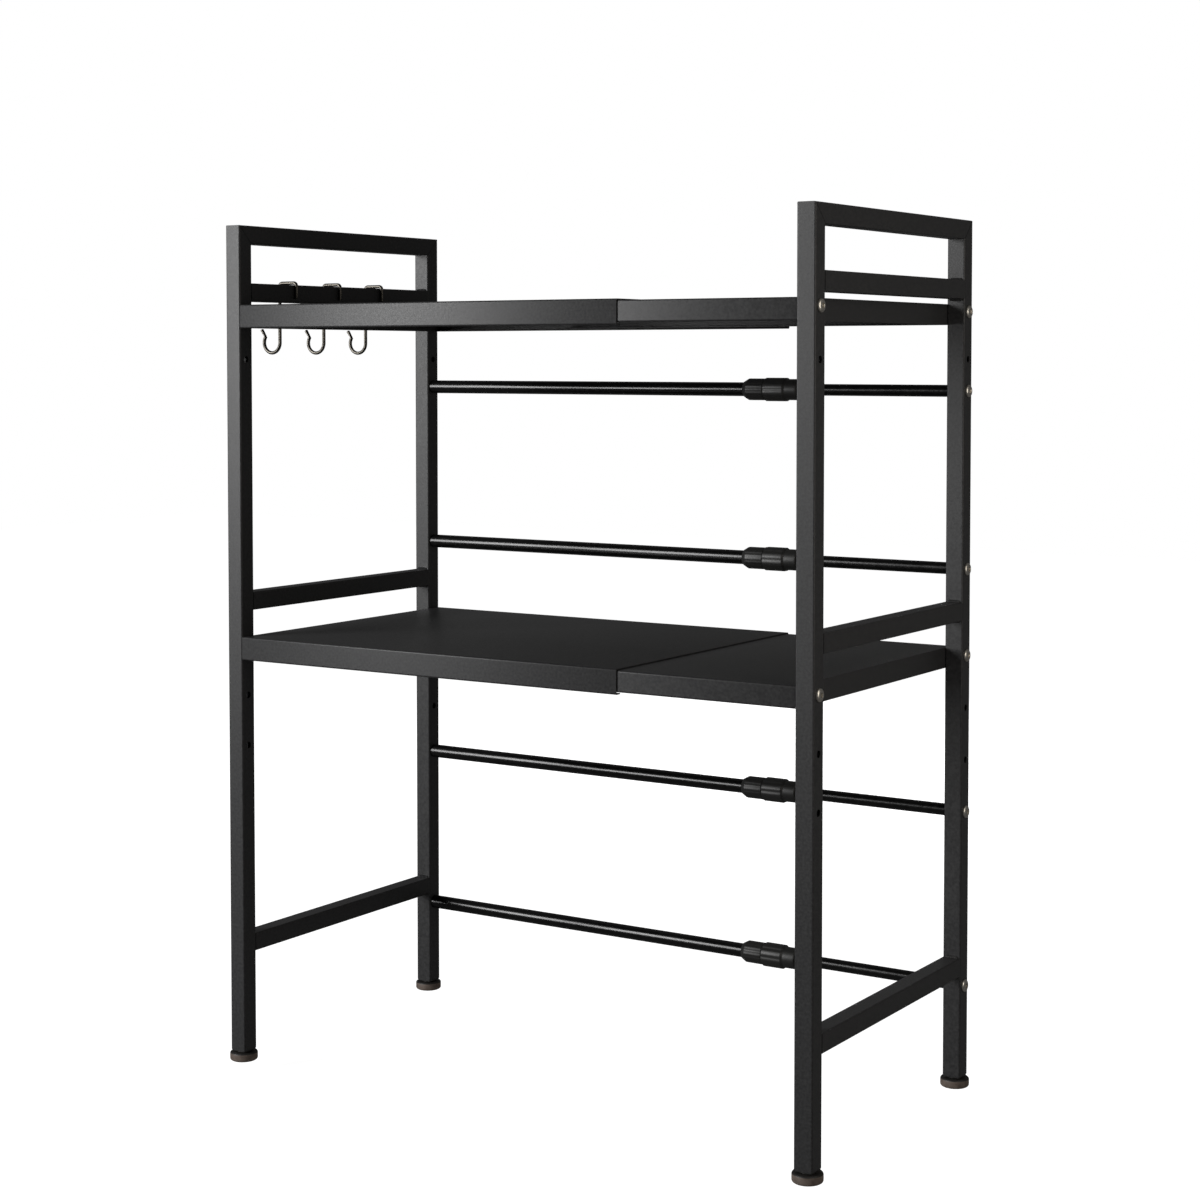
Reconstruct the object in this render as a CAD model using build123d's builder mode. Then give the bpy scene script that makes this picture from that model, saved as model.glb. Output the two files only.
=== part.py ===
"""Expandable two-shelf kitchen rack: two welded side frames of square tube, two shelves that are
each a pair of nested sheet-steel trays, and four telescopic rods along the back with twist locks.
Millimetres. +X is the rack's right, -Y its front, +Z up. The origin is on the floor, in the middle
of the whole rack's outline, hooks and bolt heads included."""
from build123d import *
import math
import os

os.makedirs("parts", exist_ok=True)

# ---- driving dimensions -------------------------------------------------------------------------
# overall
frame_width = 650.0        # outer face to outer face of the side frames, as set in the photograph
frame_depth = 324.0        # front face to back face of the posts
frame_height = 830.0       # floor to the top of the side frames

# square tube of the side frames
tube = 18.0
tube_wall = 1.0
tube_corner = 1.6          # outer corner radius of the tube

# heights above the floor
post_foot = 11.0           # cut end of the posts
upper_shelf_drop = 78.0    # top of the side frames to the upper shelf
lower_shelf_top = 425.0
upper_guard_gap = 3.5      # shelf top to the rail above it
lower_guard_gap = 25.0
bottom_rail_foot = 108.5   # underside of the bottom rail
first_rod_drop = 10.0      # underside of the bottom rail to the lowest rod
second_rod_drop = 158.5    # lower shelf to the rod under it
third_rod_rise = 74.0      # lower shelf to the rod above it
fourth_rod_drop = 83.5     # upper shelf to the rod under it

# shelf trays
sheet = 1.0
bend = 1.6                 # outer bend radius of the sheet
tray_height = 23.0         # outer tray, top face to bottom lip
tray_lip = 7.0             # inward lip under the front and back flanges
outer_tray_length = 436.0
inner_tray_length = 436.0
nest_top = 0.2             # clearances of the inner tray inside the outer one
nest_side = 0.3
nest_bottom = 1.2

# bolts, nuts and their holes
bolt_shank = 5.8
bolt_head = 12.0
bolt_head_height = 2.8
bolt_head_flat = 7.0       # flat top of the crowned head
bolt_head_edge = 1.1       # straight edge under the crown
bolt_socket = 4.0          # across the flats of the hexagon socket
bolt_socket_depth = 1.6
bolt_hole = 6.5
bolt_drop = 8.5            # shelf top to bolt axis
spare_pitch_upper = 45.0   # one spare hole under the upper shelf's bolt
spare_pitch_lower = 50.0   # two spare holes under the lower shelf's bolt
nut_flats = 10.0
nut_height = 5.0
nut_bore = 6.0
thread_run_out = 1.5       # bolt end past the nut

# telescopic rods
outer_rod = 14.0
inner_rod = 11.5
rod_wall = 1.0
outer_rod_length = 428.0
inner_rod_length = 400.0
insert_length = 14.0       # threaded plug in each rod end
insert_clearance = 0.05

# twist lock on each rod: sleeve, collar and split lock ring
sleeve_diameter = 22.0
sleeve_length = 24.0
sleeve_cone = 5.0          # length of the bevel at the sleeve's left end
sleeve_mouth = 16.4        # diameter where the bevel starts
collar_diameter = 24.0
collar_length = 24.0
collar_nose = 21.0         # diameter of the narrower right end
collar_nose_length = 13.0
collar_gap = 0.4           # between sleeve and collar
collar_flutes = 8
flute_radius = 2.4
flute_depth = 0.6
lock_clearance = 0.15      # collar over the outer rod, and lock ring inside the collar
nose_clearance = 0.35      # collar nose over the inner rod
ring_length = 9.0
ring_wall = 2.0
ring_slot = 2.0

# levelling feet
foot_diameter = 27.5
foot_height = 8.8
foot_edge = 1.2            # bevel of the pad's bottom edge
foot_rim = 0.6             # bevel of the pad's top edge
foot_hub = 14.0
stop_gap = 0.2             # hub to plug when the foot is screwed right in
stud_diameter = 7.8
stud_length = 30.0         # from the bottom of its pocket in the pad
stud_pocket = 5.0
stud_bevel = 0.8
stud_clearance = 0.15
plug_flange = 1.0          # collar of the plug under the tube's end
plug_flange_inset = 0.4    # plug flange inside the tube's outline
plug_depth = 20.0
plug_clearance = 0.15

# utensil hooks on the left upper guard rail
hook_wire = 3.5            # across the flats of the wire, which is modelled with eight sides
hook_wire_sides = 8
hook_clearance = 0.3       # wire to the rail
hook_front = 83.0          # front face to the first hook
hook_pitch = 69.5
hook_count = 3
hook_inner_leg = 14.0      # how far the short leg reaches down inside the rail
hook_drop = 40.0           # rail underside to the centre of the lower bend
hook_bend = 10.4           # centreline radius of the lower bend
hook_corner = 3.4          # centreline radius of the bends over the rail
hook_flare = 34.0          # lean of the tip, in degrees from upright
hook_tip = 15.0            # straight length of the tip

# ---- places worked out from them ----------------------------------------------------------------
flare = math.radians(hook_flare)
shank_offset = hook_clearance + hook_wire / 2                     # wire centre outside the rail
tip_run = hook_bend * (1 + math.cos(flare)) + hook_tip * math.sin(flare)
hook_reach = shank_offset + tip_run + hook_wire / 2 * math.cos(flare)

left_x = -(frame_width + bolt_head_height - hook_reach) / 2       # outer face of the left frame
right_x = left_x + frame_width
front_y = -frame_depth / 2
back_y = frame_depth / 2
post_y = {"front": front_y + tube / 2, "rear": back_y - tube / 2}
post_x = {"left": left_x + tube / 2, "right": right_x - tube / 2}
inner_face = {"left": left_x + tube, "right": right_x - tube}
outer_face = {"left": left_x, "right": right_x}
outward = {"left": -1, "right": 1}

upper_shelf_top = frame_height - upper_shelf_drop
rod_heights = (
    bottom_rail_foot - first_rod_drop,
    lower_shelf_top - second_rod_drop,
    lower_shelf_top + third_rod_rise,
    upper_shelf_top - fourth_rod_drop,
)
shelf_bolt_heights = (upper_shelf_top - bolt_drop, lower_shelf_top - bolt_drop)
spare_heights = (
    shelf_bolt_heights[0] - spare_pitch_upper,
    shelf_bolt_heights[1] - spare_pitch_lower,
    shelf_bolt_heights[1] - 2 * spare_pitch_lower,
)
upper_guard_foot = upper_shelf_top + upper_guard_gap
lower_guard_foot = lower_shelf_top + lower_guard_gap
bore = tube - 2 * tube_wall
outer_rod_end = inner_face["left"] + outer_rod_length
sleeve_start = outer_rod_end - sleeve_length - collar_gap - collar_length / 2


def finish(piece, name):
    """Label a finished piece and write its STEP file."""
    piece.label = name
    export_step(piece, f"parts/{name}.step")


# ---- side frames: square tube, mitred at the top corners, rails welded between the posts --------
def tube_section():
    """The tube's section, for the sketch that is open: a rounded square with its bore."""
    RectangleRounded(tube, tube, tube_corner)
    Rectangle(bore, bore, mode=Mode.SUBTRACT)


def mitre_plane(side, end):
    """The 45-degree plane of a top corner, facing up and towards the middle of the frame."""
    corner_y = front_y if end == "front" else back_y
    inward = 1 if end == "front" else -1
    return Plane(origin=(post_x[side], corner_y, frame_height), x_dir=(1, 0, 0), z_dir=(0, inward, 1))


for side in ("left", "right"):
    for end in ("front", "rear"):
        heights = shelf_bolt_heights + spare_heights + (rod_heights if end == "rear" else ())
        with BuildPart() as post:
            with BuildSketch(Plane.XY.offset(post_foot)):
                with Locations((post_x[side], post_y[end])):
                    tube_section()
            extrude(amount=frame_height - post_foot)
            split(bisect_by=mitre_plane(side, end), keep=Keep.BOTTOM)
            with Locations(*[Location((post_x[side], post_y[end], z), (0, 90, 0)) for z in heights]):
                Hole(bolt_hole / 2, depth=tube)
        finish(post.part, f"{side}_{end}_post")

    with BuildPart() as top_rail:
        with BuildSketch(Plane.XZ.offset(-front_y)):
            with Locations((post_x[side], frame_height - tube / 2)):
                tube_section()
        extrude(amount=-frame_depth)
        split(bisect_by=mitre_plane(side, "front"), keep=Keep.TOP)
        split(bisect_by=mitre_plane(side, "rear"), keep=Keep.TOP)
    finish(top_rail.part, f"{side}_top_rail")

    rail_feet = {
        "upper_guard_rail": upper_guard_foot,
        "lower_guard_rail": lower_guard_foot,
        "bottom_rail": bottom_rail_foot,
    }
    for rail_name, foot in rail_feet.items():
        with BuildPart() as rail:
            with BuildSketch(Plane.XZ.offset(-(front_y + tube))):
                with Locations((post_x[side], foot + tube / 2)):
                    tube_section()
            extrude(amount=-(frame_depth - 2 * tube))
        finish(rail.part, f"{side}_{rail_name}")


# ---- shelves: an outer tray bolted to the left frame, an inner tray to the right one ------------
def tray(side, length, front, back, top, height, bolt_height):
    """A folded tray: top, front and back flanges with inward lips, and an end flange at one side.
    The other end is open, so that the inner tray slides into the outer one."""
    closed_x = inner_face[side]
    foot = top - height
    with BuildPart() as folded:
        with BuildSketch(Plane.YZ.offset(closed_x)):
            with BuildLine():
                FilletPolyline(
                    (front + tray_lip, foot), (front, foot), (front, top),
                    (back, top), (back, foot), (back - tray_lip, foot),
                    radius=bend,
                )
                offset(amount=sheet, side=Side.RIGHT)
            make_face()
        extrude(amount=-outward[side] * length)
        with BuildSketch(Plane.YZ.offset(closed_x)):
            with Locations((0, foot + height / 2)):
                RectangleRounded(back - front, height, bend)
        extrude(amount=-outward[side] * sheet)
        with Locations(*[Location((closed_x, y, bolt_height), (0, 90, 0)) for y in post_y.values()]):
            Hole(bolt_hole / 2, depth=3 * sheet)
    return folded.part


nest_down = sheet + nest_top
nest_in = sheet + nest_side
inner_tray_height = tray_height - nest_down - sheet - nest_bottom
shelf_tops = {"upper": upper_shelf_top, "lower": lower_shelf_top}
for level, shelf_top in shelf_tops.items():
    outer_tray = tray("left", outer_tray_length, front_y, back_y,
                      shelf_top, tray_height, shelf_top - bolt_drop)
    finish(outer_tray, f"{level}_shelf_outer")
    inner_tray = tray("right", inner_tray_length, front_y + nest_in, back_y - nest_in,
                      shelf_top - nest_down, inner_tray_height, shelf_top - bolt_drop)
    finish(inner_tray, f"{level}_shelf_inner")


# ---- rear rods: an outer tube on the left, an inner tube sliding in it from the right -----------
rod_y = post_y["rear"]
rod_numbers = {number: height for number, height in enumerate(rod_heights, start=1)}
outer_rod_bore = outer_rod - 2 * rod_wall
inner_rod_bore = inner_rod - 2 * rod_wall
insert_diameter = {
    "left": outer_rod_bore - 2 * insert_clearance,
    "right": inner_rod_bore - 2 * insert_clearance,
}


def along_x(x, z):
    """A sketch plane square to a rear rod at x, its own Z pointing along +X."""
    return Plane(origin=(x, rod_y, z), x_dir=(0, 1, 0), z_dir=(1, 0, 0))


for number, z in rod_numbers.items():
    with BuildPart() as outer_tube:
        with BuildSketch(along_x(inner_face["left"], z)):
            Circle(outer_rod / 2)
            Circle(outer_rod_bore / 2, mode=Mode.SUBTRACT)
        extrude(amount=outer_rod_length)
    finish(outer_tube.part, f"rod_{number}_outer_tube")

    with BuildPart() as inner_tube:
        with BuildSketch(along_x(inner_face["right"], z)):
            Circle(inner_rod / 2)
            Circle(inner_rod_bore / 2, mode=Mode.SUBTRACT)
        extrude(amount=-inner_rod_length)
    finish(inner_tube.part, f"rod_{number}_inner_tube")

for side in ("left", "right"):
    with BuildPart() as inserts:
        for z in rod_heights:
            with BuildSketch(along_x(inner_face[side], z)):
                Circle(insert_diameter[side] / 2)
                Circle(nut_bore / 2, mode=Mode.SUBTRACT)
            extrude(amount=-outward[side] * insert_length)
    finish(inserts.part, f"{side}_rod_inserts")


# ---- twist locks: a sleeve pressed on the outer tube, a collar that turns, a split lock ring ----
collar_start = sleeve_start + sleeve_length + collar_gap
nose_start = collar_start + collar_length
collar_end = nose_start + collar_nose_length
ring_start = outer_rod_end + collar_gap
ring_bore = inner_rod / 2 + lock_clearance         # bores here are radii
ring_radius = ring_bore + ring_wall
step_x = ring_start + ring_length + collar_gap     # where the collar's bore narrows to the nose
sleeve_bore = outer_rod / 2 + insert_clearance
collar_bore = max(outer_rod / 2, ring_radius) + lock_clearance
nose_bore = inner_rod / 2 + nose_clearance

for number, z in rod_numbers.items():
    axis = Axis((0, rod_y, z), (1, 0, 0))
    profile_plane = Plane(origin=(0, rod_y, z), x_dir=(1, 0, 0), z_dir=(0, -1, 0))

    with BuildPart() as sleeve:
        with BuildSketch(profile_plane):
            with BuildLine():
                Polyline(
                    (sleeve_start, sleeve_bore),
                    (sleeve_start, sleeve_mouth / 2),
                    (sleeve_start + sleeve_cone, sleeve_diameter / 2),
                    (sleeve_start + sleeve_length, sleeve_diameter / 2),
                    (sleeve_start + sleeve_length, sleeve_bore),
                    close=True,
                )
            make_face()
        revolve(axis=axis)
    finish(sleeve.part, f"rod_{number}_sleeve")

    with BuildPart() as collar:
        with BuildSketch(profile_plane):
            with BuildLine():
                Polyline(
                    (collar_start, collar_bore),
                    (collar_start, collar_diameter / 2 - flute_depth),
                    (collar_start + flute_depth, collar_diameter / 2),
                    (nose_start - (collar_diameter - collar_nose) / 2, collar_diameter / 2),
                    (nose_start, collar_nose / 2),
                    (collar_end - flute_depth, collar_nose / 2),
                    (collar_end, collar_nose / 2 - flute_depth),
                    (collar_end, nose_bore),
                    (step_x, nose_bore),
                    (step_x, collar_bore),
                    close=True,
                )
            make_face()
        revolve(axis=axis)
        with BuildSketch(along_x(collar_start, z)):
            with PolarLocations(collar_diameter / 2 + flute_radius - flute_depth, collar_flutes):
                Circle(flute_radius)
        extrude(amount=collar_length, mode=Mode.SUBTRACT)
    finish(collar.part, f"twist_collar_{number}")

with BuildPart() as lock_rings:
    for z in rod_heights:
        with BuildSketch(along_x(ring_start, z)):
            Circle(ring_radius)
            Circle(ring_bore, mode=Mode.SUBTRACT)
            with Locations((0, ring_radius)):
                Rectangle(ring_slot, 2 * ring_radius, mode=Mode.SUBTRACT)
        extrude(amount=ring_length)
finish(lock_rings.part, "lock_rings")


# ---- bolts from outside each post, nuts behind the shelves' end flanges -------------------------
def bolt_group(side, places, length):
    """Crowned bolts with a hexagon socket at (y, z) places on one side's outer face."""
    head_out = outward[side]
    face_x = outer_face[side]
    top_x = face_x + head_out * bolt_head_height
    with BuildPart() as bolts:
        for y, z in places:
            with BuildSketch(Plane(origin=(0, y, z), x_dir=(1, 0, 0), z_dir=(0, -1, 0))):
                with BuildLine():
                    Polyline(
                        (top_x, 0),
                        (face_x, 0),
                        (face_x, bolt_head / 2),
                        (face_x + head_out * bolt_head_edge, bolt_head / 2),
                        (top_x, bolt_head_flat / 2),
                        close=True,
                    )
                make_face()
            revolve(axis=Axis((0, y, z), (1, 0, 0)))
            with BuildSketch(Plane(origin=(face_x, y, z), x_dir=(0, 1, 0), z_dir=(-head_out, 0, 0))):
                Circle(bolt_shank / 2)
            extrude(amount=length)
            with BuildSketch(Plane(origin=(top_x, y, z), x_dir=(0, 1, 0), z_dir=(-head_out, 0, 0))):
                RegularPolygon(bolt_socket / 2, 6, major_radius=False)
            extrude(amount=bolt_socket_depth, mode=Mode.SUBTRACT)
    return bolts.part


shelf_bolt_places = [(y, z) for z in shelf_bolt_heights for y in post_y.values()]
rod_bolt_places = [(rod_y, z) for z in rod_heights]
shelf_bolt_length = tube + sheet + nut_height + thread_run_out
rod_bolt_length = tube + insert_length - thread_run_out
for side in ("left", "right"):
    finish(bolt_group(side, shelf_bolt_places, shelf_bolt_length), f"{side}_shelf_bolts")
    finish(bolt_group(side, rod_bolt_places, rod_bolt_length), f"{side}_rod_bolts")
    flange_back = inner_face[side] - outward[side] * sheet
    with BuildPart() as nuts:
        for y, z in shelf_bolt_places:
            with BuildSketch(Plane(origin=(flange_back, y, z), x_dir=(0, 1, 0), z_dir=(1, 0, 0))):
                RegularPolygon(nut_flats / 2, 6, major_radius=False)
                Circle(nut_bore / 2, mode=Mode.SUBTRACT)
            extrude(amount=-outward[side] * nut_height)
    finish(nuts.part, f"{side}_shelf_nuts")


# ---- leg plugs and levelling feet ---------------------------------------------------------------
stud_bore = stud_diameter / 2 + stud_clearance      # radius
plug_foot = post_foot - plug_flange
plug_side = bore - 2 * plug_clearance
flange_side = tube - 2 * plug_flange_inset
pocket_floor = foot_height - stud_pocket
hub_top = plug_foot - stop_gap
for side in ("left", "right"):
    with BuildPart() as plugs:
        for end in ("front", "rear"):
            with BuildSketch(Plane.XY.offset(plug_foot)):
                with Locations((post_x[side], post_y[end])):
                    RectangleRounded(flange_side, flange_side, tube_corner)
                    Circle(stud_bore, mode=Mode.SUBTRACT)
            extrude(amount=plug_flange)
            with BuildSketch(Plane.XY.offset(post_foot)):
                with Locations((post_x[side], post_y[end])):
                    Rectangle(plug_side, plug_side)
                    Circle(stud_bore, mode=Mode.SUBTRACT)
            extrude(amount=plug_depth)
    finish(plugs.part, f"{side}_leg_plugs")

    for end in ("front", "rear"):
        x, y = post_x[side], post_y[end]
        with BuildPart() as pad:
            with BuildSketch():
                with Locations((x, y)):
                    Circle(foot_diameter / 2)
            extrude(amount=foot_height)
            chamfer(pad.edges().group_by(Axis.Z)[0], length=foot_edge)
            chamfer(pad.edges().group_by(Axis.Z)[-1], length=foot_rim)
            with BuildSketch(Plane.XY.offset(foot_height)):
                with Locations((x, y)):
                    Circle(foot_hub / 2)
            extrude(amount=hub_top - foot_height)
            with BuildSketch(Plane.XY.offset(pocket_floor)):
                with Locations((x, y)):
                    Circle(stud_bore)
            extrude(amount=hub_top - pocket_floor, mode=Mode.SUBTRACT)
        finish(pad.part, f"{side}_{end}_foot_pad")

        with BuildPart() as stud:
            with BuildSketch(Plane.XY.offset(pocket_floor)):
                with Locations((x, y)):
                    Circle(stud_diameter / 2)
            extrude(amount=stud_length)
            chamfer(stud.edges().group_by(Axis.Z)[-1], length=stud_bevel)
        finish(stud.part, f"{side}_{end}_foot_stud")


# ---- utensil hooks: bent wire over the left upper guard rail, hanging outside it ----------------
rail_top = upper_guard_foot + tube
over_rail = rail_top + shank_offset
shank_x = left_x - shank_offset
leg_x = inner_face["left"] + shank_offset
bend_z = upper_guard_foot - hook_drop
bend_x = shank_x - hook_bend                       # centre of the lower bend
sweep_end = (
    bend_x - hook_bend * math.cos(flare),
    bend_z - hook_bend * math.sin(flare),
)
for number in range(1, hook_count + 1):
    y = front_y + hook_front + (number - 1) * hook_pitch
    with BuildPart() as hook:
        with BuildLine(Plane(origin=(0, y, 0), x_dir=(1, 0, 0), z_dir=(0, -1, 0))) as wire:
            FilletPolyline(
                (leg_x, rail_top - hook_inner_leg),
                (leg_x, over_rail),
                (shank_x, over_rail),
                (shank_x, bend_z),
                radius=hook_corner,
            )
            bottom = (bend_x, bend_z - hook_bend)
            ThreePointArc((shank_x, bend_z), bottom, sweep_end)
            Line(
                sweep_end,
                (sweep_end[0] - hook_tip * math.sin(flare), sweep_end[1] + hook_tip * math.cos(flare)),
            )
        with BuildSketch(Plane(origin=(leg_x, y, rail_top - hook_inner_leg), z_dir=(0, 0, 1))):
            RegularPolygon(
                hook_wire / 2, hook_wire_sides, major_radius=False, rotation=180 / hook_wire_sides
            )
        sweep(path=wire.wires()[0])
    finish(hook.part, f"hook_{number}")
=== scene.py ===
"""Looks of an expandable two-shelf kitchen rack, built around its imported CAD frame. Metres."""
import math

import bmesh
import bpy
import numpy as np
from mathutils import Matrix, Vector


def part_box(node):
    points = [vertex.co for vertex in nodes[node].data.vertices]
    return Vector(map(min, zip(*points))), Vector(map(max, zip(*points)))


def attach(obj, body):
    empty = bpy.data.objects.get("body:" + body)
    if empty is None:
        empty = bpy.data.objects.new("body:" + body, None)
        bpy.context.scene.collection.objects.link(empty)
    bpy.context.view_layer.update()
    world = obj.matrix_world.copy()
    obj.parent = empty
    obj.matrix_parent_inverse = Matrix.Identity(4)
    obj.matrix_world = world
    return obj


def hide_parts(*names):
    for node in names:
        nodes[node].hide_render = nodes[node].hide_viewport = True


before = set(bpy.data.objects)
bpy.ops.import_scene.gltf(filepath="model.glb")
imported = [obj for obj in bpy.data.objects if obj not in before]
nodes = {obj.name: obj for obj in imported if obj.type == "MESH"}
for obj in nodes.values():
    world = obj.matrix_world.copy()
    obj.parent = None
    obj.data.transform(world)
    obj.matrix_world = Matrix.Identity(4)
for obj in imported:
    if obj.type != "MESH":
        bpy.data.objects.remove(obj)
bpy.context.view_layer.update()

# ---- Camera -------------------------------------------------------------------------------------
# A camera to the right of the rack's front, a little below the upper shelf. It looks slightly down,
# with its lens shifted down as well: the posts stay nearly parallel, with the feet in view.
photo_px = 1200.0
focal_px = 2282.0                     # focal length, in the photograph's pixels
film_width = 36.0                     # millimetres
lens_shift = -0.12
view_azimuth = math.radians(32.640)
view_tilt = math.radians(2.425)
eye_height = 0.6985
eye_from_corner = Vector((1.5240, -1.6967))     # from the frame's left front corner
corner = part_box("left_front_post")[0]
camera_data = bpy.data.cameras.new("camera")
camera_data.sensor_width = film_width
camera_data.lens = film_width * focal_px / photo_px
camera_data.shift_y = lens_shift
camera = bpy.data.objects.new("camera", camera_data)
camera.location = (corner.x + eye_from_corner.x, corner.y + eye_from_corner.y, eye_height)
camera.rotation_euler = (math.pi / 2 - view_tilt, 0, view_azimuth)
bpy.context.scene.collection.objects.link(camera)
bpy.context.scene.camera = camera
bpy.context.scene.view_settings.view_transform = "Standard"


# ---- Floor and background -----------------------------------------------------------------------
# A pale studio floor, as low as the feet can be screwed out, that fades into a white background.
# Seen directly or in a reflection they have their own plain brightness, which adds no light.
sky_light = 0.03
gloss_white = 0.09                    # how bright the surroundings look in a reflection
seen_white = 1.0                      # how bright they look to the camera
floor_reach = 6.0
floor_z = -0.0101
floor_grey = (0.42, 0.42, 0.42, 1)
floor_glow = (0.93, seen_white)       # the floor's own brightness, near the rack and far away
floor_fade = (0.9, 2.2)               # distances between which it goes from one to the other


def by_ray(tree, lit, mirrored, seen):
    """One shader for the light that reaches the rack, one for reflections, one for the camera."""
    rays = tree.nodes.new("ShaderNodeLightPath")
    gloss_or_glass = tree.nodes.new("ShaderNodeMath")
    gloss_or_glass.operation = "MAXIMUM"
    tree.links.new(rays.outputs["Is Glossy Ray"], gloss_or_glass.inputs[0])
    tree.links.new(rays.outputs["Is Transmission Ray"], gloss_or_glass.inputs[1])
    inner = tree.nodes.new("ShaderNodeMixShader")
    tree.links.new(gloss_or_glass.outputs[0], inner.inputs[0])
    tree.links.new(lit, inner.inputs[1])
    tree.links.new(mirrored, inner.inputs[2])
    outer = tree.nodes.new("ShaderNodeMixShader")
    tree.links.new(rays.outputs["Is Camera Ray"], outer.inputs[0])
    tree.links.new(inner.outputs[0], outer.inputs[1])
    tree.links.new(seen, outer.inputs[2])
    return outer.outputs[0]


def plain_light(tree, kind, strength):
    """A white background or emission of one strength."""
    light = tree.nodes.new(kind)
    light.inputs["Color"].default_value = (1, 1, 1, 1)
    light.inputs["Strength"].default_value = strength
    return light.outputs[0]


world = bpy.data.worlds.new("studio")
bpy.context.scene.world = world
world.use_nodes = True
tree = world.node_tree
tree.nodes.clear()
backdrop = by_ray(
    tree,
    plain_light(tree, "ShaderNodeBackground", sky_light),
    plain_light(tree, "ShaderNodeBackground", gloss_white),
    plain_light(tree, "ShaderNodeBackground", seen_white),
)
tree.links.new(backdrop, tree.nodes.new("ShaderNodeOutputWorld").inputs["Surface"])

floor_mesh = bpy.data.meshes.new("floor")
floor_mesh.from_pydata(
    [(-floor_reach, -floor_reach, floor_z), (floor_reach, -floor_reach, floor_z),
     (floor_reach, floor_reach, floor_z), (-floor_reach, floor_reach, floor_z)], [], [(0, 1, 2, 3)])
floor = bpy.data.objects.new("floor", floor_mesh)
bpy.context.scene.collection.objects.link(floor)
floor_white = bpy.data.materials.new("floor_white")
floor_white.use_nodes = True
tree = floor_white.node_tree
tree.nodes.clear()
matt = tree.nodes.new("ShaderNodeBsdfDiffuse")
matt.inputs["Color"].default_value = floor_grey
away = tree.nodes.new("ShaderNodeVectorMath")
away.operation = "LENGTH"
tree.links.new(tree.nodes.new("ShaderNodeTexCoord").outputs["Object"], away.inputs[0])
fade = tree.nodes.new("ShaderNodeMapRange")
fade.interpolation_type = "SMOOTHSTEP"
fade.inputs["From Min"].default_value, fade.inputs["From Max"].default_value = floor_fade
fade.inputs["To Min"].default_value, fade.inputs["To Max"].default_value = floor_glow
tree.links.new(away.outputs["Value"], fade.inputs["Value"])
seen_floor = plain_light(tree, "ShaderNodeEmission", seen_white)
tree.links.new(fade.outputs["Result"], seen_floor.node.inputs["Strength"])
matt_and_glow = tree.nodes.new("ShaderNodeAddShader")
tree.links.new(matt.outputs[0], matt_and_glow.inputs[0])
tree.links.new(seen_floor, matt_and_glow.inputs[1])
from_above = by_ray(
    tree,
    matt.outputs[0],
    plain_light(tree, "ShaderNodeEmission", gloss_white),
    matt_and_glow.outputs[0],
)
one_way = tree.nodes.new("ShaderNodeMixShader")      # from below, the floor can't be seen
tree.links.new(tree.nodes.new("ShaderNodeNewGeometry").outputs["Backfacing"], one_way.inputs[0])
tree.links.new(from_above, one_way.inputs[1])
tree.links.new(tree.nodes.new("ShaderNodeBsdfTransparent").outputs[0], one_way.inputs[2])
floor_out = tree.nodes.new("ShaderNodeOutputMaterial")
tree.links.new(one_way.outputs[0], floor_out.inputs["Surface"])
floor_mesh.materials.append(floor_white)


# ---- Lamps --------------------------------------------------------------------------------------
# One tall soft lamp at the front left, a weak one close to the rack's right side, and one behind
# the rack that shows its back. The last one is kept out of reflections, because the shelves and
# rails would mirror it as a white glare.
daylight = (1.0, 1.0, 1.0)
warm_light = (1.0, 0.94, 0.86)


def soft_lamp(name, place, aim, width, height, watts, colour):
    """An oblong area lamp at a place, turned to face its aim."""
    data = bpy.data.lights.new(name, "AREA")
    data.color = colour
    data.shape = "RECTANGLE"
    data.size = width
    data.size_y = height
    data.energy = watts
    lamp = bpy.data.objects.new(name, data)
    lamp.location = place
    lamp.rotation_euler = (Vector(aim) - Vector(place)).to_track_quat("-Z", "Y").to_euler()
    bpy.context.scene.collection.objects.link(lamp)
    return lamp


soft_lamp("key_lamp", place=(-1.80, -2.35, 1.15), aim=(0.0, 0.0, 0.7),
          width=0.9, height=1.4, watts=74, colour=daylight)
soft_lamp("side_lamp", place=(1.10, -0.30, 0.75), aim=(0.34, 0.0, 0.5),
          width=0.5, height=0.9, watts=3.0, colour=warm_light)
rear_lamp = soft_lamp("rear_lamp", place=(-0.55, 2.40, 1.00), aim=(0.0, 0.0, 0.5),
                      width=0.6, height=0.8, watts=32, colour=daylight)
rear_lamp.visible_glossy = False


# ---- Side frames --------------------------------------------------------------------------------
# Welded frames of square steel tube: two posts, a mitred top rail, two guard rails and a bottom
# rail each, all in a fine-textured matt black powder coat.
coat_dark = (0.024, 0.024, 0.025, 1)
coat_light = (0.040, 0.040, 0.041, 1)
coat_pebble = 2600.0                 # pebbles of the coat per metre
coat_pebble_depth = 0.00006
coat_mottle = 420.0
coat_mottle_depth = 0.00004
coat_roughness = (0.36, 0.44)
coat_shine = 0.35


def new_paint(name):
    """A material with its Principled shader, and the Object coordinates for its patterns."""
    paint = bpy.data.materials.new(name)
    paint.use_nodes = True
    tree = paint.node_tree
    coords = tree.nodes.new("ShaderNodeTexCoord").outputs["Object"]
    return paint, tree, tree.nodes["Principled BSDF"], coords


def speckle(tree, coords, scale, detail=2.0):
    """Soft random cells, so many to the metre."""
    cells = tree.nodes.new("ShaderNodeTexNoise")
    cells.inputs["Scale"].default_value = scale
    cells.inputs["Detail"].default_value = detail
    tree.links.new(coords, cells.inputs["Vector"])
    return cells.outputs["Fac"]


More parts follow.
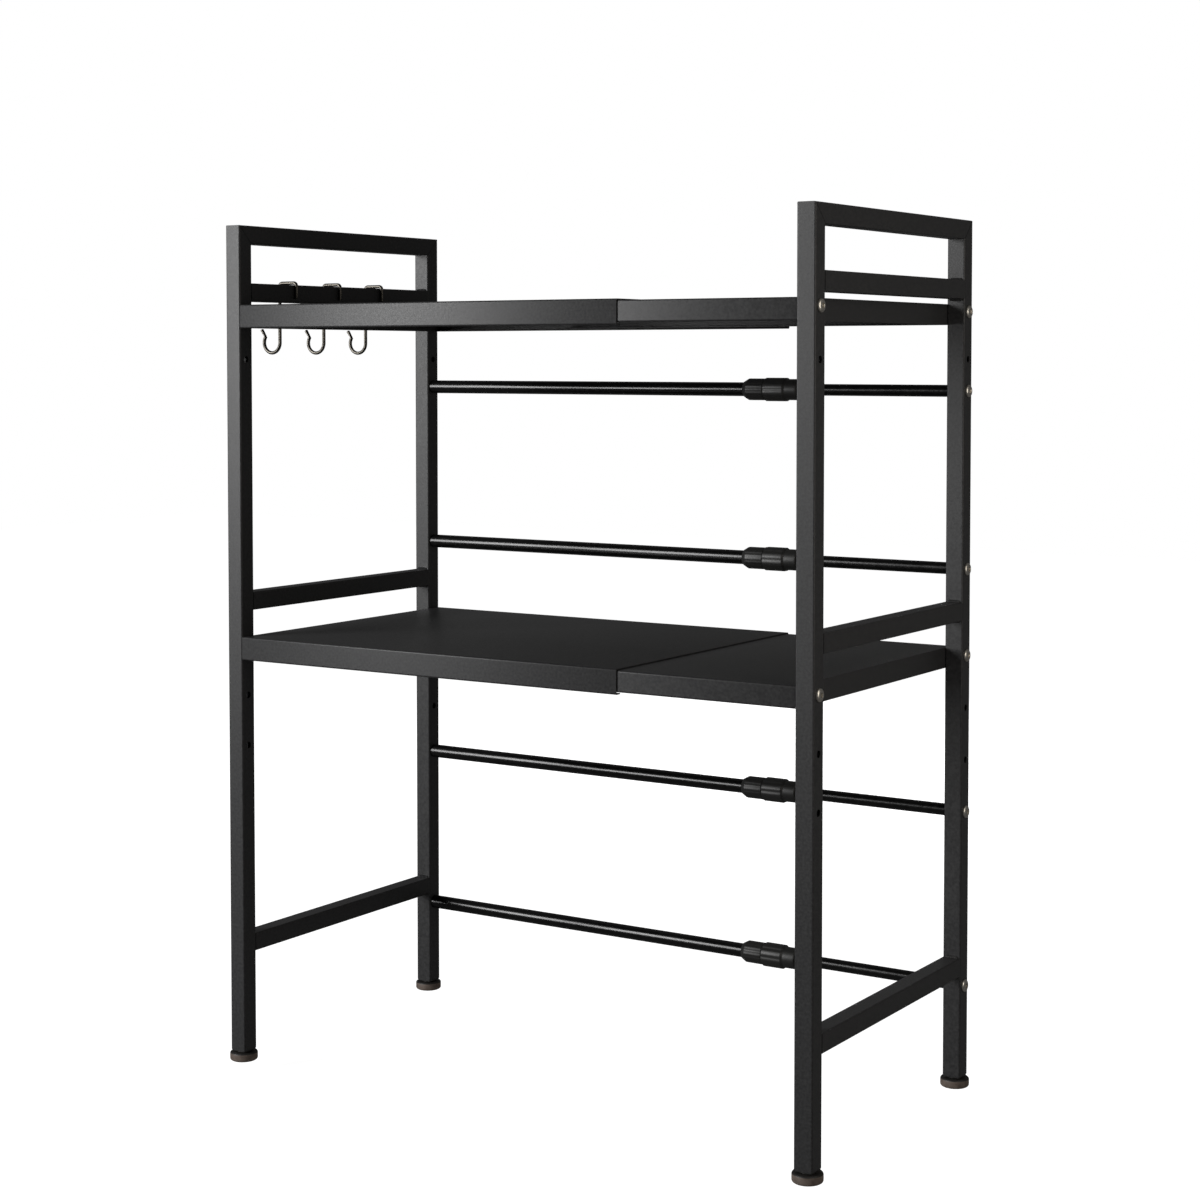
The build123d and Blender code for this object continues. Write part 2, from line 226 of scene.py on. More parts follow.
def ranged(tree, value, low, high, start=0.3, stop=0.7):
    """A value stretched from start..stop to low..high."""
    stretch = tree.nodes.new("ShaderNodeMapRange")
    stretch.inputs["From Min"].default_value = start
    stretch.inputs["From Max"].default_value = stop
    stretch.inputs["To Min"].default_value = low
    stretch.inputs["To Max"].default_value = high
    tree.links.new(value, stretch.inputs["Value"])
    return stretch.outputs["Result"]


def two_tone(tree, value, dark, light):
    """A colour that runs from dark to light with a value."""
    blend = tree.nodes.new("ShaderNodeMix")
    blend.data_type = "RGBA"
    tree.links.new(ranged(tree, value, 0.0, 1.0), blend.inputs["Factor"])
    blend.inputs["A"].default_value = dark
    blend.inputs["B"].default_value = light
    return blend.outputs["Result"]


def relief(tree, height, depth, under=None):
    """A bump of a depth in metres, laid over another one if there is one."""
    bump = tree.nodes.new("ShaderNodeBump")
    bump.inputs["Strength"].default_value = 1.0
    bump.inputs["Distance"].default_value = depth
    tree.links.new(height, bump.inputs["Height"])
    if under is not None:
        tree.links.new(under, bump.inputs["Normal"])
    return bump.outputs["Normal"]


def powder_coat(name, dark=coat_dark, light=coat_light):
    """Matt black with fine pebbles and a faint mottling."""
    paint, tree, shader, coords = new_paint(name)
    pebble = speckle(tree, coords, coat_pebble, detail=1.0)
    mottle = speckle(tree, coords, coat_mottle)
    tree.links.new(two_tone(tree, mottle, dark, light), shader.inputs["Base Color"])
    tree.links.new(ranged(tree, mottle, *coat_roughness), shader.inputs["Roughness"])
    orange_peel = relief(tree, mottle, coat_mottle_depth)
    pebbled = relief(tree, pebble, coat_pebble_depth, orange_peel)
    tree.links.new(pebbled, shader.inputs["Normal"])
    shader.inputs["Specular IOR Level"].default_value = coat_shine
    return paint, tree, shader, coords


def repaint(node, paint):
    """Give a CAD piece its material."""
    nodes[node].data.materials.clear()
    nodes[node].data.materials.append(paint)


coat = powder_coat("black_powder_coat")[0]
rail_names = ("upper_guard_rail", "lower_guard_rail", "bottom_rail")
for side in ("left", "right"):
    for part in ("front_post", "rear_post", "top_rail") + rail_names:
        repaint(f"{side}_{part}", coat)


# ---- Weld beads ---------------------------------------------------------------------------------
# Short fillet welds above and below each rail, where it butts against a post. They are coated
# with the frame, so they show only as small rippled ridges.
bead_leg = 0.0020
bead_inset = 0.0024                  # bead's end to the tube's edge
bead_ripples = 9
bead_ripple = 0.10                   # their height, as a share of the leg
bead_hollow = 0.18                   # how far the face falls short of a quarter circle
bead_sink = 0.2                      # depth of the root inside the tubes, as a share of the leg
bead_steps = 40
bead_round = 7
crease_angle = math.radians(38)      # edges that turn more than this stay sharp
same_point = 1e-7


def made_piece(name, grids, paint, body, replaced=(), loop=False):
    """A closed piece from a stack of grids, (copies, rings, points of a ring, 3). Each ring closes
    on itself and is joined to the next by quads. In a loop the last is joined to the first."""
    rows = np.arange(grids[..., 0].size).reshape(grids.shape[:3])
    ahead = np.roll(rows, -1, axis=2)
    last = rows.shape[1] if loop else rows.shape[1] - 1
    sides = [rows, ahead, np.roll(ahead, -1, axis=1), np.roll(rows, -1, axis=1)]
    quads = np.stack([side[:, :last] for side in sides], axis=-1).reshape(-1, 4)
    mesh = bpy.data.meshes.new(name)
    mesh.from_pydata(grids.reshape(-1, 3).tolist(), [], quads.tolist())
    closed = bmesh.new()
    closed.from_mesh(mesh)
    bmesh.ops.remove_doubles(closed, verts=closed.verts, dist=same_point)
    bmesh.ops.recalc_face_normals(closed, faces=closed.faces)
    closed.to_mesh(mesh)
    closed.free()
    mesh.polygons.foreach_set("use_smooth", np.ones(len(mesh.polygons), bool))
    mesh.set_sharp_from_angle(angle=crease_angle)
    mesh.materials.append(paint)
    piece = bpy.data.objects.new(name, mesh)
    bpy.context.scene.collection.objects.link(piece)
    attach(piece, body)
    if replaced:
        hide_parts(*replaced)
    return piece


def bead_grid(start, length, away, up):
    """A bead along X. Across it runs a quarter of a flattened circle, whose radius is the leg times
    the fourth root of one less the fourth power of the way from the middle, and a small ripple."""
    way = np.linspace(-1, 1, bead_steps)[:, None]
    ripple = 1 + bead_ripple * np.cos(way * math.pi * bead_ripples)
    leg = bead_leg * (1 - way ** 4) ** 0.25 * ripple
    turn = np.linspace(0, math.pi / 2, bead_round)[None, :]
    bulge = 1 - bead_hollow * np.sin(2 * turn)
    out = np.concatenate([leg * np.cos(turn) * bulge, -bead_sink * leg], axis=1)
    rise = np.concatenate([leg * np.sin(turn) * bulge, -bead_sink * leg], axis=1)
    x = start[0] + (way + 1) / 2 * length + 0 * out
    return np.stack([x, start[1] + away * out, start[2] + up * rise], axis=-1)


for side in ("left", "right"):
    beads = []
    for rail in rail_names:
        low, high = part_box(f"{side}_{rail}")
        length = high.x - low.x - 2 * bead_inset
        for z, up in ((high.z, 1), (low.z, -1)):
            for y, away in ((low.y, 1), (high.y, -1)):
                beads.append(bead_grid((low.x + bead_inset, y, z), length, away, up))
    made_piece(f"{side}_weld_beads", np.stack(beads), coat, f"{side}_half")


# ---- Mitre seams --------------------------------------------------------------------------------
# The top rail meets each post in a mitre. The weld in it is ground nearly flush before coating. A
# thin ridge along it on the tube's outer and inner faces is painted nearly black: painted shade of
# the seam's groove.
seam_half_width = 0.00035
seam_height = 0.00015
seam_inset = 0.0008                  # seam's outer end to the tube's corner
seam_taper = 0.02                    # share of the seam over which each end shrinks
seam_steps = 30
seam_round = 12
# Painted shade: this near-black stands for the shadow in the seam's groove, not the coat's colour.
seam_shade_dark = (0.003, 0.003, 0.003, 1)
seam_shade_light = (0.007, 0.007, 0.007, 1)


def round_angles(count):
    """Evenly spaced angles of one full turn."""
    return np.arange(count) * 2 * math.pi / count


def seam_grid(start, end, outward):
    """A thin ridge along a line in a plane square to X. Its section is an ellipse half sunk into
    the face, which shrinks in the taper at both ends with the square root of the way."""
    way = np.linspace(0, 1, seam_steps)[:, None]
    line = np.array(start) + way * (np.array(end) - np.array(start))
    along = (np.array(end) - start) / np.linalg.norm(np.array(end) - start)
    across = np.cross(along, (1, 0, 0))
    size = np.sqrt(np.clip(np.minimum(way, 1 - way) / seam_taper, 0, 1))[:, :, None]
    turn = round_angles(seam_round)[None, :, None]
    section = seam_half_width * np.cos(turn) * across
    section = section + seam_height * np.sin(turn) * np.array((outward, 0, 0))
    return line[:, None, :] + size * section


# The ridges get this near-black coat as painted shade of the seam's groove.
seam_painted_shade = powder_coat("seam_painted_shade", seam_shade_dark, seam_shade_light)[0]
for side in ("left", "right"):
    low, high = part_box(f"{side}_front_post")
    back_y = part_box(f"{side}_rear_post")[1].y
    tube = high.x - low.x
    seams = []
    for x, outward in ((low.x, -1), (high.x, 1)):
        for y, inside in ((low.y, 1), (back_y, -1)):
            seams.append(seam_grid(
                (x, y + inside * seam_inset, high.z - seam_inset),
                (x, y + inside * tube, high.z - tube), outward))
    made_piece(f"{side}_mitre_seams", np.stack(seams), seam_painted_shade, f"{side}_half")


# ---- Shelves ------------------------------------------------------------------------------------
# Two shelves, each of two folded sheet-steel trays. The left tray is bolted to the left frame and
# the right one slides inside it. The frames' coat shows the slight outward bow of their thin sheet.
sheet_bow = 0.90                      # turn of the bowed sheet, radians per metre
bow_crests = {"outer": -0.09, "inner": 0.12}      # where along X each tray bows out most


def bowed_coat(name, crest):
    """The frames' coat on a sheet that bows out most at one x. Its height falls off by half the bow
    times the square of the distance from there."""
    paint, tree, shader, coords = powder_coat(name)
    place = tree.nodes.new("ShaderNodeSeparateXYZ")
    tree.links.new(coords, place.inputs[0])
    away = tree.nodes.new("ShaderNodeMath")
    away.operation = "SUBTRACT"
    tree.links.new(place.outputs["X"], away.inputs[0])
    away.inputs[1].default_value = crest
    square = tree.nodes.new("ShaderNodeMath")
    square.operation = "MULTIPLY"
    tree.links.new(away.outputs[0], square.inputs[0])
    tree.links.new(away.outputs[0], square.inputs[1])
    texture = shader.inputs["Normal"].links[0].from_socket
    bow = relief(tree, square.outputs[0], sheet_bow / 2, texture)
    bow.node.invert = True
    tree.links.new(bow, shader.inputs["Normal"])
    return paint


for half, crest in bow_crests.items():
    tray_coat = bowed_coat(f"black_powder_coat_{half}_tray", crest)
    for level in ("upper", "lower"):
        repaint(f"{level}_shelf_{half}", tray_coat)


# ---- Rear rods ----------------------------------------------------------------------------------
# Round steel tubes, the right one sliding in the left one, in a smoother satin black enamel. A
# threaded plug in each end takes the bolt from outside the post.
enamel_dark = (0.003, 0.003, 0.003, 1)
enamel_light = (0.006, 0.006, 0.006, 1)
enamel_flow = 260.0                  # waves of the enamel per metre
enamel_flow_depth = 0.000006
enamel_roughness = (0.20, 0.26)
enamel_shine = 0.35


def satin_black():
    """Smooth black enamel with a faint unevenness."""
    paint, tree, shader, coords = new_paint("satin_black_enamel")
    flow = speckle(tree, coords, enamel_flow)
    tree.links.new(two_tone(tree, flow, enamel_dark, enamel_light), shader.inputs["Base Color"])
    tree.links.new(ranged(tree, flow, *enamel_roughness), shader.inputs["Roughness"])
    tree.links.new(relief(tree, flow, enamel_flow_depth), shader.inputs["Normal"])
    shader.inputs["Specular IOR Level"].default_value = enamel_shine
    return paint


rod_enamel = satin_black()
rod_numbers = (1, 2, 3, 4)
for number in rod_numbers:
    repaint(f"rod_{number}_outer_tube", rod_enamel)
    repaint(f"rod_{number}_inner_tube", rod_enamel)


# ---- Twist locks --------------------------------------------------------------------------------
# On each rod a finely ribbed sleeve is pressed on the thick tube, and a fluted collar turns beside
# it to grip the thin one. Both are moulded in black plastic with softly rounded edges.
lock_round = 72                      # points round a sleeve or collar
lock_edge = 0.0006                   # rounding of their edges
unrounded = 1e-5                     # for the corners that stay sharp
sleeve_cone = 0.005
sleeve_shoulder = 0.0012             # rounding where the bevel ends
sleeve_mouth = 0.0082                # radius where the sleeve's bevel starts
sleeve_ribs = 18
sleeve_rib_depth = 0.00035
nose_length = 0.013
nose_radius = 0.0105
nose_edge = 0.0003
collar_proud = 0.0001                # the flutes' crests stand out so far
collar_shoulder = 0.002              # length of the slope down to the nose
collar_end = 0.0010                  # rounding of the collar's two ends
shoulder_edge = 0.0008
collar_gap = 0.0011                  # collar's bore to the thick tube, room for the lock ring
nose_gap = 0.0003                    # nose to the thin tube
collar_flutes = 8
flute_depth = 0.0007
plastic_dark = (0.010, 0.010, 0.010, 1)
plastic_light = (0.020, 0.020, 0.019, 1)
plastic_grain = 1800.0
plastic_grain_depth = 0.00005
plastic_roughness = (0.38, 0.52)
nylon_dark = (0.62, 0.60, 0.54, 1)
nylon_light = (0.72, 0.71, 0.66, 1)
nylon_cloud = 300.0
nylon_roughness = (0.34, 0.46)


def moulded_black():
    """Black plastic with the fine spark-eroded grain of its mould."""
    paint, tree, shader, coords = new_paint("moulded_black_plastic")
    grain = speckle(tree, coords, plastic_grain)
    tree.links.new(two_tone(tree, grain, plastic_dark, plastic_light), shader.inputs["Base Color"])
    tree.links.new(ranged(tree, grain, *plastic_roughness), shader.inputs["Roughness"])
    tree.links.new(relief(tree, grain, plastic_grain_depth), shader.inputs["Normal"])
    return paint


def rounded(corners, radius, steps=5, closed=True):
    """A polygon with an arc at each corner. The arc starts and ends a tangent of radius x tan(half
    the turn) from the corner, round a centre at radius / cos(half the turn) on the bisector. An
    open outline keeps its two ends."""
    corner = np.asarray(corners, float)
    back = np.roll(corner, 1, axis=0) - corner
    on = np.roll(corner, -1, axis=0) - corner
    back /= np.linalg.norm(back, axis=1)[:, None]
    on /= np.linalg.norm(on, axis=1)[:, None]
    turn = math.pi - np.arccos(np.clip((back * on).sum(1), -1, 1))
    reach = (np.asarray(radius) * np.tan(turn / 2))[:, None]
    bisector = (back + on) / np.linalg.norm(back + on, axis=1)[:, None]
    centre = corner + bisector * (np.asarray(radius) / np.cos(turn / 2))[:, None]
    start, end = corner + back * reach - centre, corner + on * reach - centre
    way = np.linspace(0, 1, steps)[None, :, None]
    turn = turn[:, None, None]
    arcs = (np.sin((1 - way) * turn) * start[:, None] + np.sin(way * turn) * end[:, None])
    arcs = centre[:, None] + arcs / np.sin(turn)
    if closed:
        return arcs.reshape(-1, 2)
    return np.concatenate([corner[:1], arcs[1:-1].reshape(-1, 2), corner[-1:]])


def turned(along, radius, axis, places):
    """A turned form at each place: point (i, j) lies along[i] down the axis and radius[i, j] from
    it, at the j-th of evenly spaced angles."""
    axis = np.asarray(axis, float)
    across = np.roll(axis, 1)
    upward = np.cross(axis, across)
    angle = round_angles(radius.shape[1])
    spoke = np.cos(angle)[:, None] * across + np.sin(angle)[:, None] * upward
    form = along[:, None, None] * axis + radius[:, :, None] * spoke[None]
    return np.asarray(places, float)[:, None, None, :] + form[None]


lock_plastic = moulded_black()
lock_angle = round_angles(lock_round)[None, :]
for number in rod_numbers:
    low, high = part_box(f"rod_{number}_sleeve")
    axis_place = [(0, (low.y + high.y) / 2, (low.z + high.z) / 2)]
    rod_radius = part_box(f"rod_{number}_outer_tube")[1].y - axis_place[0][1]
    radius = (high.y - low.y) / 2
    outline = rounded(
        [(low.x, rod_radius), (low.x, sleeve_mouth), (low.x + sleeve_cone, radius),
         (high.x, radius), (high.x, rod_radius)],
        [unrounded, lock_edge, sleeve_shoulder, lock_edge, unrounded])
    rib = sleeve_rib_depth * (0.5 - 0.5 * np.cos(sleeve_ribs * lock_angle)) ** 2
    outer = np.clip((outline[:, 1:] - radius + sleeve_shoulder) / sleeve_shoulder, 0, 1)
    made_piece(
        f"rod_{number}_ribbed_sleeve",
        turned(outline[:, 0], outline[:, 1:] - rib * outer, (1, 0, 0), axis_place),
        lock_plastic, "left_half", [f"rod_{number}_sleeve"], loop=True)

    low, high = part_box(f"twist_collar_{number}")
    thin_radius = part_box(f"rod_{number}_inner_tube")[1].y - axis_place[0][1]
    radius = (high.y - low.y) / 2 + collar_proud
    shoulder = high.x - nose_length
    wall_bore = rod_radius + collar_gap
    nose_bore = thin_radius + nose_gap
    outline = rounded(
        [(low.x, wall_bore), (low.x, radius), (shoulder - collar_shoulder, radius),
         (shoulder, nose_radius), (high.x, nose_radius), (high.x, nose_bore),
         (shoulder, nose_bore), (shoulder, wall_bore)],
        [unrounded, collar_end, shoulder_edge, shoulder_edge, collar_end, nose_edge, unrounded,
         unrounded])
    flute = flute_depth * (0.5 + 0.5 * np.cos(collar_flutes * lock_angle)) ** 3
    outer = np.clip((outline[:, 1:] - nose_radius) / (radius - nose_radius), 0, 1)
    made_piece(
        f"fluted_collar_{number}",
        turned(outline[:, 0], outline[:, 1:] - flute * outer, (1, 0, 0), axis_place),
        lock_plastic, f"twist_collar_{number}", [f"twist_collar_{number}"],
        loop=True)


def natural_nylon():
    """Cream nylon with a faint cloudiness."""
    paint, tree, shader, coords = new_paint("natural_nylon")
    cloud = speckle(tree, coords, nylon_cloud)
    tree.links.new(two_tone(tree, cloud, nylon_dark, nylon_light), shader.inputs["Base Color"])
    tree.links.new(ranged(tree, cloud, *nylon_roughness), shader.inputs["Roughness"])
    return paint


repaint("lock_rings", natural_nylon())
for side in ("left", "right"):
    repaint(f"{side}_rod_inserts", lock_plastic)


# ---- Bolts --------------------------------------------------------------------------------------
# M6 bolts with a domed head and a hexagon socket, of zinc-plated steel. Four on each side hold the
# shelves and four hold the rods, each driven in from outside its post.
head_height = 0.0028
head_radius = 0.0060
head_edge = 0.0007                   # straight edge under the dome
head_flat = 0.0029                   # radius of the dome's flat top
socket_flats = 0.0040
socket_depth = 0.0016
shank_radius = 0.0029
thread_pitch = 0.0010
thread_depth = 0.00022
thread_length = 0.0120
bolt_bevel = 0.0006
bolt_round = 48
dome_rings = 8
thread_rings = 6                     # to one pitch
soft_edge = 0.00018                  # rounding of small steel edges
zinc_dark = (0.58, 0.54, 0.48, 1)
zinc_light = (0.80, 0.77, 0.70, 1)
zinc_cloud = 500.0
zinc_marks = 5200.0
zinc_marks_depth = 0.000012
zinc_roughness = (0.26, 0.44)


def zinc_plate():
    """Bright zinc with a cloudy passivation and fine tumbling marks."""
    paint, tree, shader, coords = new_paint("zinc_plate")
    cloud = speckle(tree, coords, zinc_cloud)
    marks = speckle(tree, coords, zinc_marks)
    tree.links.new(two_tone(tree, cloud, zinc_dark, zinc_light), shader.inputs["Base Color"])
    tree.links.new(ranged(tree, marks, *zinc_roughness), shader.inputs["Roughness"])
    tree.links.new(relief(tree, marks, zinc_marks_depth), shader.inputs["Normal"])
    shader.inputs["Metallic"].default_value = 1.0
    return paint


def hexagon(flats, angle):
    """Distance from the centre to a hexagon's side: half its flats over the cosine of the angle
    from the middle of that side."""
    sector = math.pi / 3
    return flats / 2 / np.cos((angle + sector / 2) % sector - sector / 2)


def threaded(start, stop, radius, pitch, depth, angle):
    """Rings of a screw thread: the radius falls by the depth in a triangle wave of the distance in
    pitches less the angle in turns."""
    along = np.arange(0, stop - start, pitch / thread_rings)
    wave = np.abs((along[:, None] / pitch - angle / (2 * math.pi)) % 1 * 2 - 1)
    return start + along, radius - depth * wave


def bolt_form(length, angle):
    """Rings of one bolt from the floor of its socket out over the dome and down the shank. Zero is
    the underside of the head, and the shank runs to minus its length."""
    flat = np.ones_like(angle)
    socket = hexagon(socket_flats, angle)
    sweep = np.linspace(0, math.pi / 2, dome_rings + 1)[1:, None]
    head = [
        (head_height - socket_depth, 0 * flat),
        (head_height - socket_depth, socket),
        (head_height - soft_edge, socket),
        (head_height, socket + soft_edge),
        (head_height, head_flat * flat),
    ]
    dome = head_edge + (head_height - head_edge) * np.cos(sweep[:, 0])
    dome_radius = (head_flat + (head_radius - head_flat) * np.sin(sweep)) * flat
    neck = [
        (soft_edge, head_radius * flat),
        (0.0, (head_radius - soft_edge) * flat),
        (0.0, shank_radius * flat),
    ]
    thread_start = bolt_bevel - length
    run, cut = threaded(
        thread_start, thread_start + thread_length, shank_radius, thread_pitch, thread_depth, angle)
    tip = [(-length, (shank_radius - bolt_bevel) * flat), (-length, 0 * flat)]
    along = [[a for a, _ in head], dome, [a for a, _ in neck], run[::-1], [a for a, _ in tip]]
    radius = [np.vstack([r for _, r in head]), dome_radius, np.vstack([r for _, r in neck]),
              cut[::-1], np.vstack([r for _, r in tip])]
    return np.concatenate(along), np.concatenate(radius)


zinc = zinc_plate()
bolt_angle = round_angles(bolt_round)[None, :]
outward = {"left": -1, "right": 1}
for side in ("left", "right"):
    low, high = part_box(f"{side}_shelf_bolts")
    face_x = low.x + head_height if side == "left" else high.x - head_height
    shelf_places = [
        (face_x, y, z)
        for y in (low.y + head_radius, high.y - head_radius)
        for z in (low.z + head_radius, high.z - head_radius)
    ]
    rod_low, rod_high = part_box(f"{side}_rod_bolts")
    rod_y = (rod_low.y + rod_high.y) / 2
    rod_boxes = [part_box(f"rod_{number}_outer_tube") for number in rod_numbers]
    rod_places = [(face_x, rod_y, (a.z + b.z) / 2) for a, b in rod_boxes]
    for group, places, reach in (
        ("shelf", shelf_places, high.x - low.x),
        ("rod", rod_places, rod_high.x - rod_low.x),
    ):
        along, radius = bolt_form(reach - head_height, bolt_angle)
        made_piece(
            f"{side}_{group}_dome_bolts", turned(along, radius, (outward[side], 0, 0), places),
            zinc, f"{side}_half", [f"{side}_{group}_bolts"])


# ---- Nuts ---------------------------------------------------------------------------------------
# M6 hexagon nuts behind the shelves' end flanges, plated like the bolts, with chamfered corners.
# The shelf bolts are screwed into them.
nut_flats = 0.0100
nut_bore = 0.0030
nut_face = 0.0047                    # radius where the chamfer starts
nut_chamfer = (0.0, 0.00035, 0.0007)
nut_cone = 1.7                       # how much the chamfer widens as it goes down
for side in ("left", "right"):
    low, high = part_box(f"{side}_shelf_nuts")
    depth = high.x - low.x
    hexed = hexagon(nut_flats, bolt_angle)
    cone = nut_face + nut_cone * np.array(nut_chamfer)[:, None]
    bevel = np.minimum(hexed, cone)
    bore = nut_bore * np.ones_like(bolt_angle)
    radius = np.concatenate([bore, bevel, bevel[::-1], bore])
    along = np.concatenate([[0.0], nut_chamfer, depth - np.array(nut_chamfer)[::-1], [depth]])
    places = [(low.x, y, z) for _, y, z in shelf_places]      # the same on both sides
    made_piece(
        f"{side}_hexagon_nuts", turned(along, radius, (1, 0, 0), places),
        zinc, f"{side}_half", [f"{side}_shelf_nuts"], loop=True)


# ---- Leg plugs and levelling feet ---------------------------------------------------------------
# A moulded plug closes each tube's end and holds the nut for an M8 stud. The stud's other end is
# pressed into a round taupe-brown plastic pad with rounded edges, which turns to level the rack.
pad_bottom_edge = 0.0022
pad_top_edge = 0.0020
pad_recess = 0.0005                  # shallow hollow under the pad
pad_rim = 0.0026
pad_height = 0.0088
pad_cap = (0.0017, 0.0012)           # below the pad's top, where taupe turns black
hub_radius = 0.0070
hub_edge = 0.0003
small_edge = 0.0004
bore_edge = 0.0002
bore_gap = 0.0001                    # pad's bore to the stud
foot_round = 64
stud_pitch = 0.00125
stud_thread_depth = 0.00035
stud_bevel = 0.0008
taupe_dark = (0.110, 0.083, 0.068, 1)
taupe_light = (0.165, 0.130, 0.108, 1)
cap_black = (0.012, 0.011, 0.010, 1)
taupe_cloud = 220.0
taupe_grain = 2400.0
taupe_grain_depth = 0.00005
taupe_roughness = (0.48, 0.62)


def taupe_plastic():
    """Matt brown-grey plastic, lightly clouded, with a fine grain. It is black on the pad's top."""
    paint, tree, shader, coords = new_paint("taupe_foot_plastic")
    cloud = speckle(tree, coords, taupe_cloud)
    grain = speckle(tree, coords, taupe_grain)
    height = tree.nodes.new("ShaderNodeSeparateXYZ")
    tree.links.new(coords, height.inputs[0])
    cap_start, cap_stop = pad_height - pad_cap[0], pad_height - pad_cap[1]
    top = ranged(tree, height.outputs["Z"], 0.0, 1.0, cap_start, cap_stop)
    capped = tree.nodes.new("ShaderNodeMix")
    capped.data_type = "RGBA"
    tree.links.new(top, capped.inputs["Factor"])
    tree.links.new(two_tone(tree, cloud, taupe_dark, taupe_light), capped.inputs["A"])
    capped.inputs["B"].default_value = cap_black
    tree.links.new(capped.outputs["Result"], shader.inputs["Base Color"])
    tree.links.new(ranged(tree, grain, *taupe_roughness), shader.inputs["Roughness"])
    tree.links.new(relief(tree, grain, taupe_grain_depth), shader.inputs["Normal"])
    return paint


foot_plastic = taupe_plastic()
foot_angle = round_angles(foot_round)[None, :]
for side in ("left", "right"):
    repaint(f"{side}_leg_plugs", lock_plastic)
    for end in ("front", "rear"):
        foot = f"{side}_{end}_foot"
        low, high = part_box(f"{foot}_pad")
        stud_low, stud_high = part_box(f"{foot}_stud")
        centre = [((low.x + high.x) / 2, (low.y + high.y) / 2, 0)]
        radius = (high.x - low.x) / 2
        bore = (stud_high.x - stud_low.x) / 2 + bore_gap
        outline = rounded(
            [(pad_recess, 0), (pad_recess, radius - 2 * pad_rim), (0, radius - pad_rim),
             (0, radius), (pad_height, radius), (pad_height, hub_radius), (high.z, hub_radius),
             (high.z, bore), (stud_low.z, bore), (stud_low.z, 0)],
            [unrounded, small_edge, small_edge, pad_bottom_edge, pad_top_edge, small_edge,
             hub_edge, bore_edge, unrounded, unrounded], closed=False)
        made_piece(
            f"{foot}_moulded_pad",
            turned(outline[:, 0], outline[:, 1:] + 0 * foot_angle, (0, 0, 1), centre),
            foot_plastic, foot, [f"{foot}_pad"])

        stud_radius = (stud_high.x - stud_low.x) / 2
        flat = np.ones_like(bolt_angle)
        run, cut = threaded(stud_low.z + stud_bevel, stud_high.z - stud_bevel, stud_radius,
                            stud_pitch, stud_thread_depth, bolt_angle)
        blunt = (stud_radius - stud_bevel) * flat
        along = np.concatenate([[stud_low.z] * 2, run, [stud_high.z] * 2])
        radius = np.concatenate([0 * flat, blunt, cut, blunt, 0 * flat])
        made_piece(
            f"{foot}_threaded_stud", turned(along, radius, (0, 0, 1), centre),
            zinc, foot, [f"{foot}_stud"])


# ---- Wire hooks ---------------------------------------------------------------------------------
# Three hooks bent from round steel wire. Each hangs over the left upper guard rail with its short
# leg inside, and its lower bend is outside the frame, so that it slides along the rail.
wire_radius = 0.00175
wire_tip = 0.0008                    # rounding of the wire's ends
rail_clearance = 0.0003
top_bend = 0.0034                    # centreline radii
lower_bend = 0.0104
inner_leg = 0.0140
tip_length = 0.0090
tip_flare = math.radians(34)         # how far the tip leans away from the rack
top_steps = 12
bend_steps = 40
wire_round = 24
end_rings = (0.0, 0.07, 0.25, 0.5, 0.75, 1.0)     # shares of the tip's rounding
# The wire's two tones are painted dark: painted shade of the dim surroundings that the plated steel
# mirrors.
nickel_shade_dark = (0.060, 0.056, 0.048, 1)
nickel_shade_light = (0.120, 0.112, 0.098, 1)
nickel_haze = 700.0
nickel_roughness = (0.24, 0.38)


def nickel_painted_shade():
    """Plated wire, painted dark as painted shade of the dim surroundings it mirrors, with patches
    of a slightly duller haze.
    """
    paint, tree, shader, coords = new_paint("wire_in_painted_shade")
    haze = speckle(tree, coords, nickel_haze)
    tree.links.new(two_tone(tree, haze, nickel_shade_dark, nickel_shade_light), shader.inputs["Base Color"])
    tree.links.new(ranged(tree, haze, *nickel_roughness), shader.inputs["Roughness"])
    shader.inputs["Metallic"].default_value = 1.0
    return paint


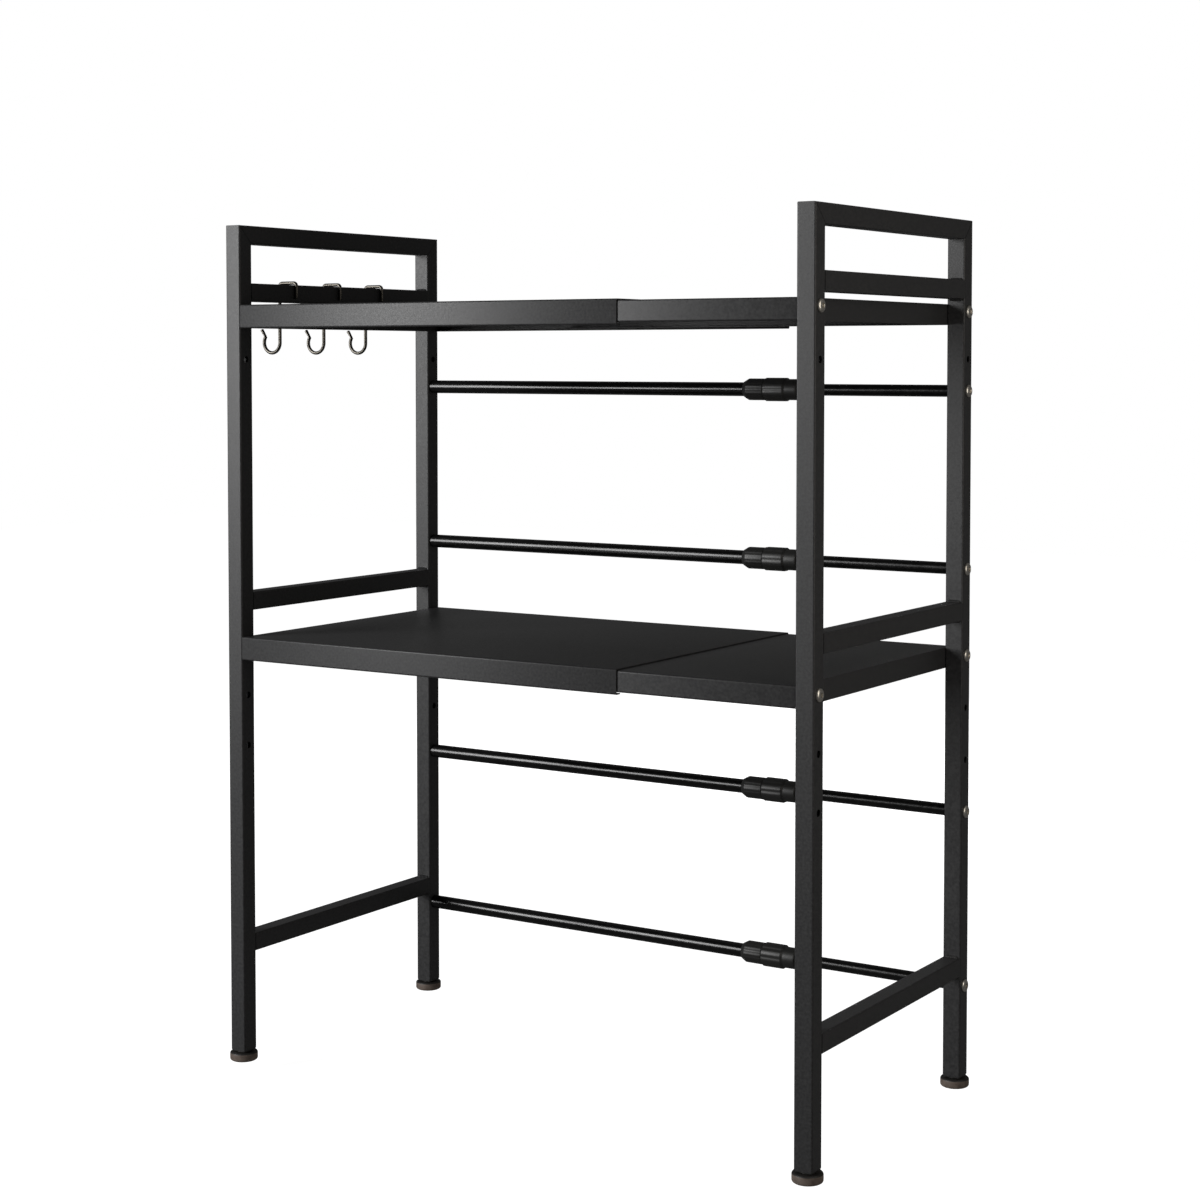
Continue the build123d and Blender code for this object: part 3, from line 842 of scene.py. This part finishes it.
def wire_grid(path, y):
    """Round wire along a flat path: circles square to the path's direction, whose radius drops to
    zero at both ends on a quarter circle."""
    step = np.diff(path, axis=0)
    length = np.concatenate([[0], np.cumsum(np.linalg.norm(step, axis=1))])
    ends = np.array(end_rings) * wire_tip
    where = np.unique(np.concatenate([ends, length, length[-1] - ends]))
    line = np.stack([np.interp(where, length, path[:, k]) for k in (0, 1)], axis=1)
    heading = np.gradient(line, where, axis=0)
    heading /= np.linalg.norm(heading, axis=1)[:, None]
    to_end = np.clip(np.minimum(where, length[-1] - where) / wire_tip, 0, 1)
    inset = wire_tip * (1 - np.sqrt(1 - (1 - to_end) ** 2))
    radius = np.where(to_end > 0, wire_radius - inset, 0.0)[:, None]
    angle = round_angles(wire_round)[None, :]
    side = radius * np.cos(angle)
    x = line[:, :1] - heading[:, 1:] * side
    z = line[:, 1:] + heading[:, :1] * side
    return np.stack([x, y + radius * np.sin(angle), z], axis=-1)[None]


# The hooks' dark colour is painted shade, not the plated wire's own colour.
hook_wire_shaded = nickel_painted_shade()
rail_low, rail_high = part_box("left_upper_guard_rail")
for number in (1, 2, 3):
    low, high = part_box(f"hook_{number}")
    leg_x = high.x - wire_radius
    over_z = high.z - wire_radius
    shank_x = rail_low.x - rail_clearance - wire_radius
    bend_x = shank_x - lower_bend
    bend_z = low.z + wire_radius + lower_bend
    over_rail = rounded(
        [(leg_x, rail_high.z - inner_leg), (leg_x, over_z), (shank_x, over_z), (shank_x, bend_z)],
        [unrounded, top_bend, top_bend, unrounded], steps=top_steps, closed=False)
    sweep = np.linspace(0, math.pi + tip_flare, bend_steps)[1:]
    around = np.stack([bend_x + lower_bend * np.cos(sweep), bend_z - lower_bend * np.sin(sweep)], 1)
    tip = around[-1:] + tip_length * np.array([[-math.sin(tip_flare), math.cos(tip_flare)]])
    path = np.concatenate([over_rail, around, tip])
    made_piece(
        f"wire_hook_{number}", wire_grid(path, (low.y + high.y) / 2),
        hook_wire_shaded, f"hook_{number}", [f"hook_{number}"])
